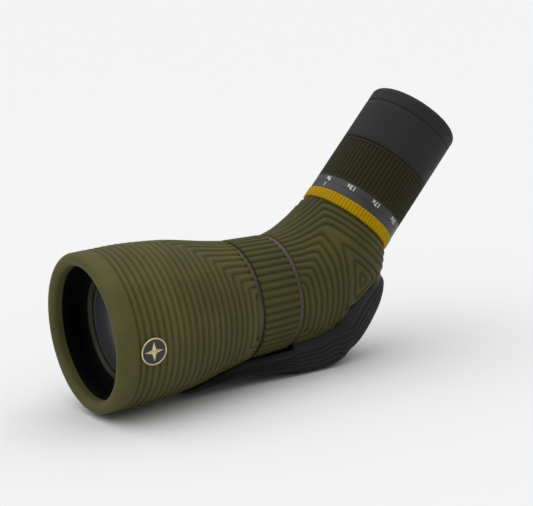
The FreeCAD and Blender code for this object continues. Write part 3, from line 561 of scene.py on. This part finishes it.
painted = anodised("housing_paint", (0.022, 0.022, 0.022), 0.6, metal=0.0)
steel = anodised("plain_steel", (0.50, 0.50, 0.51), 0.3, metal=1.0)
finish_nodes(painted, "prism_housing", "prism_bracket")
finish_nodes(lens_glass, "roof_prism")
finish_nodes(steel, "prism_clamp_spring", "prism_screws")

# Foot: a black rubber shoe over an aluminium block. It hugs the belly of the scope from a thin
# front tip, widens into the heel that takes the tripod screw, and wraps up behind as a bumper.

FOOT_START = 35.2
FOOT_FRONT_END = 94.8
FOOT_TURN_LENGTH = 1.45
FOOT_LENGTH = FOOT_FRONT_END + 39.6 * FOOT_TURN_LENGTH
FOOT_BELLY = (
    (35.2, 34.4), (36.4, 35.1), (38.5, 35.45), (45, 34.8), (57, 33.6), (71, 33.6), (84, 35.4),
    (94.8, 37.5), (99.6, 38.25), (109.5, 38.3 + 2.0), (116.5, 41.2), (123.3, 40.9),
    (131.0, 38.6), (138.7, 35.2), (146.9, 30.9), (152.2, 28.2),
)
FOOT_EDGE_WIDTH = (
    (35.2, 3.0), (36.2, 7.0), (38.5, 10.0), (45, 12.4), (57, 13.3), (71, 13.4), (84, 13.6),
    (94.8, 14.2), (109.3, 15.2), (114.5, 16.8), (118.5, 19.6), (122.5, 22.0), (130, 22.6),
    (136.6, 21.8), (141.8, 20.9), (146.0, 18.4), (149.4, 14.5), (152.2, 7.0),
)
FOOT_RIDGE_WIDTH = (
    (35.2, 3.2), (36.2, 7.8), (38.5, 11.2), (45, 14.0), (57, 15.6), (71, 16.4), (84, 17.2),
    (94.8, 18.0), (109.3, 19.4), (118.5, 21.4), (124, 22.8), (130, 22.9),
    (136.6, 22.0), (141.8, 20.9), (146.0, 18.5), (149.4, 14.6), (152.2, 7.1),
)
FOOT_RIDGE_DEEP = (
    (35.2, 34.3), (38.5, 34.4), (45, 33.4), (57, 31.8), (71, 31.5), (84, 32.6),
    (94.8, 34.2), (109.3, 35.4), (115.0, 33.0), (120, 26.0), (130, 19.4), (136.6, 18.6),
    (141.8, 18.8), (146.0, 20.2), (149.4, 22.8), (152.2, 27.0),
)
FOOT_SQUARE = ((35.2, 0.55), (94.8, 0.62), (109.3, 0.66), (120, 0.84), (152.2, 0.9))
FOOT_BAND = ((35.2, 0.50), (112, 0.50), (121, 0.90), (152.2, 0.93))
FOOT_RIDGES = ((35.2, 0.80), (112, 0.82), (122, 0.97), (152.2, 0.97))
FOOT_RIDGE_COUNT = 12
FOOT_RIDGE_HEIGHT = 0.6
FOOT_OUTSIDE = 0.75
FOOT_STEPS_ROUND = 256
FOOT_STEPS_ALONG = 280
BUSH_CLEAR_RADIUS = 9.5
BUSH_CLEAR_HEIGHT = 0.5
BELLY_CLEAR = ((35.2, 35.2), (43, 34.1), (60.5, 30.5), (69.5, 28.9), (72.0, 29.3), (93.6, 29.3),
               (94.8, 27.6))


def belly_point(place, across, deep):
    """A point at a place along the foot, a distance across, and a depth below the sight line."""
    if place <= FOOT_FRONT_END:
        return Vector((RIM_PLACE + place, across, TUBE_HEIGHT - deep))
    turn = (place - FOOT_FRONT_END) / FOOT_TURN_LENGTH
    reach = faired(ELBOW_AXIS, turn) + deep
    swing = math.radians(turn)
    return Vector((PIVOT_X + reach * math.sin(swing), across, PIVOT_Z - reach * math.cos(swing)))


def belly_depth(place, across):
    """How deep the scope's belly lies under the foot, at a distance across."""
    if place <= FOOT_FRONT_END:
        radius = between(BELLY_CLEAR, place)
        return math.sqrt(max(radius * radius - across * across, 1.0))
    turn = (place - FOOT_FRONT_END) / FOOT_TURN_LENGTH
    deep, wide = faired(ELBOW_DEEP, turn) - 0.5, faired(ELBOW_WIDE, turn) - 0.5
    return deep * math.sqrt(max(1 - (across / wide) ** 2, 0.01))


def foot_section(place, share):
    """A point of the foot's outside: share runs from 0 on the belly line to 1 at the top edge."""
    edge, wide = faired(FOOT_EDGE_WIDTH, place), faired(FOOT_RIDGE_WIDTH, place)
    deep, belly = faired(FOOT_RIDGE_DEEP, place), faired(FOOT_BELLY, place)
    band = between(FOOT_BAND, place)
    if share > band:
        rise = (share - band) / (1 - band)
        top = belly_depth(place, edge)
        bulge = 0.5 * math.sin(math.pi * rise)
        return wide + (edge - wide) * rise ** 1.4 + bulge, deep + (top - deep) * rise
    swing = math.radians(90) * share / band
    square = between(FOOT_SQUARE, place)
    return (wide * math.sin(swing) ** square,
            deep + (belly - deep) * max(math.cos(swing), 0.0) ** square)


foot = bmesh.new()
bmesh.ops.create_circle(foot, radius=1.0, segments=FOOT_STEPS_ROUND,
                        matrix=Matrix.Rotation(math.radians(90), 4, "Y"))
section = foot.edges[:]
for _ in range(FOOT_STEPS_ALONG):
    grown = bmesh.ops.extrude_edge_only(foot, edges=section)["geom"]
    section = [part for part in grown if isinstance(part, bmesh.types.BMEdge)]
    bmesh.ops.translate(foot, vec=(1, 0, 0),
                        verts=[part for part in grown if isinstance(part, bmesh.types.BMVert)])
# Painted shade: the sunk layer darkens the black rubber towards its groove colour in the hollows
# between the ridges.
groove = foot.verts.layers.float.new("sunk")
for vert in foot.verts:
    place = FOOT_START + (FOOT_LENGTH - 0.2 - FOOT_START) * vert.co.x / FOOT_STEPS_ALONG
    around = math.atan2(abs(vert.co.y), -vert.co.z) / math.pi
    side = 1 if vert.co.y >= 0 else -1
    hollow = 0.0
    if around <= FOOT_OUTSIDE:
        share = around / FOOT_OUTSIDE
        across, deep = foot_section(place, share)
        band = between(FOOT_BAND, place)
        fade = eased(40, 56, place) * (1 - eased(149, 152, place))
        top = between(FOOT_RIDGES, place)
        hollow = sunk(FOOT_RIDGE_COUNT * share + 0.5) * (1 - eased(top - 0.03, top, share)) * fade
        lift = FOOT_RIDGE_HEIGHT * hollow
        across -= lift * min(1.0, across / 14)
        deep -= lift * (1 - 0.5 * min(1.0, across / 20) if share < band else -0.35)
    else:
        share = (around - FOOT_OUTSIDE) / (1 - FOOT_OUTSIDE)
        across = faired(FOOT_EDGE_WIDTH, place) * (1 - share)
        deep = belly_depth(place, across) + 0.02
    vert[groove] = hollow
    vert.co = belly_point(place, across * side, deep)
    if math.hypot(vert.co.x, vert.co.y) < BUSH_CLEAR_RADIUS:
        vert.co.z = max(vert.co.z, BUSH_CLEAR_HEIGHT)
bmesh.ops.holes_fill(foot, edges=[edge for edge in foot.edges if edge.is_boundary])
bmesh.ops.recalc_face_normals(foot, faces=foot.faces)
foot_rubber = rubber("black_rubber", (0.0125, 0.0125, 0.0125), (0.006, 0.006, 0.006), 0.5, 0.16, 0.25)
fit(foot, "ridged_foot", Matrix.Scale(MM, 4), foot_rubber, "scope_body", "black_rubber",
    "foot_armour")
finish_nodes(black, "foot_block")
finish_nodes(steel, "tripod_bush", "foot_screws")

# Eyepiece socket and collet: an aluminium socket screwed to the housing and a split collet
# inside it, which the collar squeezes on to the nose of the eyepiece. Both are hidden at rest.

ELBOW_CROSS = 8.7
EYE = (Matrix.Translation((ELBOW_CROSS * MM, 0, TUBE_HEIGHT * MM))
       @ Matrix.Rotation(math.radians(-45), 4, "Y") @ Matrix.Scale(MM, 4))
finish_nodes(black, "eyepiece_socket", "collet")

# Lock collar: a mustard anodised ring with a straight knurl cut all round, the bright band of
# the scope. A part turn clamps the eyepiece.

COLLAR_START = 35.9
COLLAR_END = 41.4
COLLAR_RADIUS = 23.3
COLLAR_KNURLS = 84

collar = lathe([
    (COLLAR_START, 19.5, 0), (COLLAR_START, COLLAR_RADIUS - 0.35, 0),
    (COLLAR_START + 0.35, COLLAR_RADIUS, 8), (COLLAR_END - 0.35, COLLAR_RADIUS, 0),
    (COLLAR_END, COLLAR_RADIUS - 0.35, 0), (COLLAR_END, 19.5, 0),
], COLLAR_KNURLS * 8)
# Painted shade: the sunk layer darkens the mustard towards its groove colour down in the knurl's
# cuts.
groove = collar.verts.layers.float.new("sunk")
for vert in collar.verts:
    radius = math.hypot(vert.co.y, vert.co.z)
    if radius < 22:
        continue
    hollow = sunk(math.atan2(vert.co.z, vert.co.y) / math.tau * COLLAR_KNURLS)
    vert[groove] = hollow
    set_radius(vert, radius - 0.24 * hollow * eased(22.9, 23.2, radius))
mustard = rubber("mustard_anodised", (0.41, 0.250, 0.001), (0.28, 0.165, 0.0005), 0.5, 0.08, 0.05)
fit(collar, "knurled_lock_collar", EYE, mustard, "lock_collar", "mustard_anodised", "lock_collar")

# Eyepiece barrel and zoom ring bands: two satin charcoal bands side by side. The lower one is
# fixed and has the white index line, and the upper one turns and has the magnifications.

BAND_RADIUS = 23.0
SCALE_RADIUS = 22.95
SCALE_MIDDLE = 46.72
NUMERAL_HEIGHT = 2.2
NUMERALS = ((6.5, "9x"), (41.3, "13x"), (76.8, "17x"), (112.1, "21x"), (147.4, "25x"),
            (165.0, "27x"))
INDEX_TURN = 6.0
INDEX_MIDDLE = 43.2

charcoal = anodised("charcoal_anodised", (0.034, 0.034, 0.035), 0.46, metal=0.3)
finish_nodes(charcoal, "eyepiece_barrel", "zoom_ring")
finish_nodes(flat_black, "field_stop", "zoom_cam")
white = rubber("white_infill", (0.66, 0.66, 0.64), (0.5, 0.5, 0.5), 0.5, 0.05)


def wrap_on_band(bm, turn, middle, radius):
    """Lays a flat mesh on a band round the eyepiece, its top towards the collar."""
    for vert in bm.verts:
        angle = math.radians(turn) - vert.co.x / radius
        out = radius + vert.co.z
        vert.co = Vector((middle - vert.co.y, -out * math.sin(angle), out * math.cos(angle)))


for turn, numeral in NUMERALS:
    words = bpy.data.curves.new("numeral_" + numeral, "FONT")
    words.body = numeral
    words.size = NUMERAL_HEIGHT / 0.70
    words.extrude = 0.03
    words.align_x = "CENTER"
    words.align_y = "CENTER"
    words.offset = 0.05
    letters = bpy.data.objects.new("numeral_" + numeral, words)
    numerals = bmesh.new()
    numerals.from_mesh(bpy.data.meshes.new_from_object(letters))
    bpy.data.objects.remove(letters)
    bmesh.ops.remove_doubles(numerals, verts=numerals.verts, dist=0.0005)
    wrap_on_band(numerals, turn, SCALE_MIDDLE, SCALE_RADIUS)
    shown = fit(numerals, "zoom_numeral_" + numeral, EYE, white, "zoom_ring", "charcoal_anodised")
    for polygon in shown.data.polygons:
        polygon.use_smooth = False

index = bmesh.new()
bmesh.ops.create_cube(index, size=1.0, matrix=Matrix.Diagonal((0.45, 2.6, 0.06, 1)))
wrap_on_band(index, INDEX_TURN, INDEX_MIDDLE, BAND_RADIUS)
bmesh.ops.recalc_face_normals(index, faces=index.faces)
fit(index, "zoom_index_line", EYE, white, "eyepiece", "charcoal_anodised")

# Zoom grip: a dark olive rubber sleeve on the zoom ring, with fine ribs along it that stop at
# a plain rim at each end.

ZOOM_START = 48.4
ZOOM_END = 71.3
ZOOM_RADIUS = 23.0
ZOOM_RIBS = 68
ZOOM_RIB_FIRST = 5.3

sleeve = lathe([
    (ZOOM_START, 20.9, 0), (ZOOM_START, ZOOM_RADIUS - 0.25, 0), (ZOOM_START + 0.25, ZOOM_RADIUS, 0),
    (ZOOM_START + 0.7, ZOOM_RADIUS, 40), (ZOOM_END - 0.75, ZOOM_RADIUS, 0),
    (ZOOM_END - 0.25, ZOOM_RADIUS, 0), (ZOOM_END, ZOOM_RADIUS - 0.25, 0), (ZOOM_END, 20.9, 0),
], ZOOM_RIBS * 8)
# Painted shade: the sunk layer darkens the zoom grip's rubber towards its groove colour down between
# the ribs.
groove = sleeve.verts.layers.float.new("sunk")
for vert in sleeve.verts:
    place, radius = vert.co.x, math.hypot(vert.co.y, vert.co.z)
    if radius < 22.9:
        continue
    around = math.degrees(math.atan2(-vert.co.y, vert.co.z)) - ZOOM_RIB_FIRST
    run = eased(ZOOM_START + 0.6, ZOOM_START + 1.2, place)
    run *= 1 - eased(ZOOM_END - 1.3, ZOOM_END - 0.7, place)
    hollow = sunk(around / 360 * ZOOM_RIBS) * run
    vert[groove] = hollow
    deeper = 0.45 + 0.35 * eased(ZOOM_END - 3.0, ZOOM_END - 1.6, place)
    set_radius(vert, radius - deeper * hollow)
zoom_rubber = rubber("zoom_grip_rubber", (0.024, 0.023, 0.0055), (0.009, 0.009, 0.0015), 0.6)
fit(sleeve, "ribbed_zoom_grip", EYE, zoom_rubber, "zoom_ring", "dark_olive_rubber", "zoom_grip")

# Zoom and eye lenses: two carriers that the cam draws along the barrel, and the eye lens in its
# black cell under the eyecup, with the guide that the eyecup climbs.

finish_nodes(black, "front_zoom_carrier", "rear_zoom_carrier", "eye_lens_cell", "eye_lens_ring",
             "eyecup_guide", "eyecup_glide_ring")
finish_nodes(lens_glass, "field_lens", "front_zoom_lens", "rear_zoom_lens", "eye_lens")
finish_nodes(steel, "front_zoom_pins", "rear_zoom_pins")

# Eyecup: a smooth charcoal rubber cup on an aluminium sleeve. A fine parting line runs round it
# below the soft rolled lip, and it twists out for use without glasses.

CUP_START = 71.6
CUP_RADIUS = 23.0
CUP_LIP = 93.4
CUP_END = 101.6

cup = lathe([
    (CUP_START, 22.2, 0), (CUP_START, CUP_RADIUS - 0.3, 0), (CUP_START + 0.3, CUP_RADIUS, 10),
    (CUP_LIP - 0.3, CUP_RADIUS, 0), (CUP_LIP, CUP_RADIUS - 0.8, 0),
    (CUP_LIP + 0.3, CUP_RADIUS - 0.05, 4), (CUP_END - 3.2, CUP_RADIUS, 0), (CUP_END, CUP_RADIUS, 0),
    (CUP_END, 16.6, 0), (92.0, 16.6, 0), (92.0, 17.5, 0), (98.6, 17.5, 0), (98.6, 22.2, 0),
], 256)
round_over(cup, ((CUP_END, CUP_RADIUS, 2.9), (CUP_END, 16.6, 1.4)), segments=8)
cup_rubber = rubber("charcoal_rubber", (0.024, 0.023, 0.0225), (0.016, 0.016, 0.016), 0.62, 0.1)
fit(cup, "smooth_eyecup", EYE, cup_rubber, "eyecup", "charcoal_rubber", "eyecup_rubber")
finish_nodes(black, "eyecup_sleeve")

# Floor, light and camera: a pale seamless floor under a sky that brightens overhead and one
# large soft lamp, and a long lens looking down a little at the left side of the scope.

floor = bmesh.new()
bmesh.ops.create_circle(floor, cap_ends=True, radius=30.0, segments=96)
floor_mesh = bpy.data.meshes.new("floor")
floor.to_mesh(floor_mesh)
floor.free()
floor_piece = bpy.data.objects.new("floor", floor_mesh)
bpy.context.scene.collection.objects.link(floor_piece)
floor_paint = bpy.data.materials.new("floor_paint")
floor_paint.use_nodes = True
paint = floor_paint.node_tree.nodes["Principled BSDF"]
paint.inputs["Base Color"].default_value = (0.80, 0.80, 0.81, 1)
paint.inputs["Roughness"].default_value = 0.9
paint.inputs["Specular IOR Level"].default_value = 0.1
floor_mesh.materials.append(floor_paint)

scene = bpy.context.scene
scene.view_settings.view_transform = "Standard"
scene.view_settings.look = "None"
sky = bpy.data.worlds.new("sky")
sky.use_nodes = True
sky.node_tree.nodes["Background"].inputs["Color"].default_value = (1.0, 1.0, 1.0, 1)
sky_nodes, sky_links = sky.node_tree.nodes, sky.node_tree.links
direction = sky_nodes.new("ShaderNodeTexCoord")
upward = sky_nodes.new("ShaderNodeSeparateXYZ")
dome = sky_nodes.new("ShaderNodeMapRange")
dome.inputs["To Min"].default_value = 0.12
dome.inputs["To Max"].default_value = 1.38
sky_links.new(direction.outputs["Generated"], upward.inputs["Vector"])
sky_links.new(upward.outputs["Z"], dome.inputs["Value"])
sky_links.new(dome.outputs["Result"], sky_nodes["Background"].inputs["Strength"])
scene.world = sky

lamp = bpy.data.lights.new("overhead_light", "SUN")
lamp.energy = 0.62
lamp.angle = math.radians(95)
overhead = bpy.data.objects.new("overhead_light", lamp)
overhead.rotation_euler = (math.radians(-14), math.radians(-16), 0)
scene.collection.objects.link(overhead)

LENS_MM = 108.07
CAMERA_PLACE = (-0.3920, -0.6261, 0.2142)
CAMERA_AZIMUTH = 31.33
CAMERA_ELEVATION = 12.09
CAMERA_ROLL = 4.75
camera_data = bpy.data.cameras.new("camera")
camera_data.lens = LENS_MM
camera_data.sensor_width = 36
camera = bpy.data.objects.new("camera", camera_data)
scene.collection.objects.link(camera)
camera_turn = (Matrix.Rotation(math.radians(-CAMERA_AZIMUTH), 4, "Z")
               @ Matrix.Rotation(math.radians(90 - CAMERA_ELEVATION), 4, "X")
               @ Matrix.Rotation(math.radians(-CAMERA_ROLL), 4, "Z"))
camera.matrix_world = Matrix.Translation(CAMERA_PLACE) @ camera_turn
scene.camera = camera
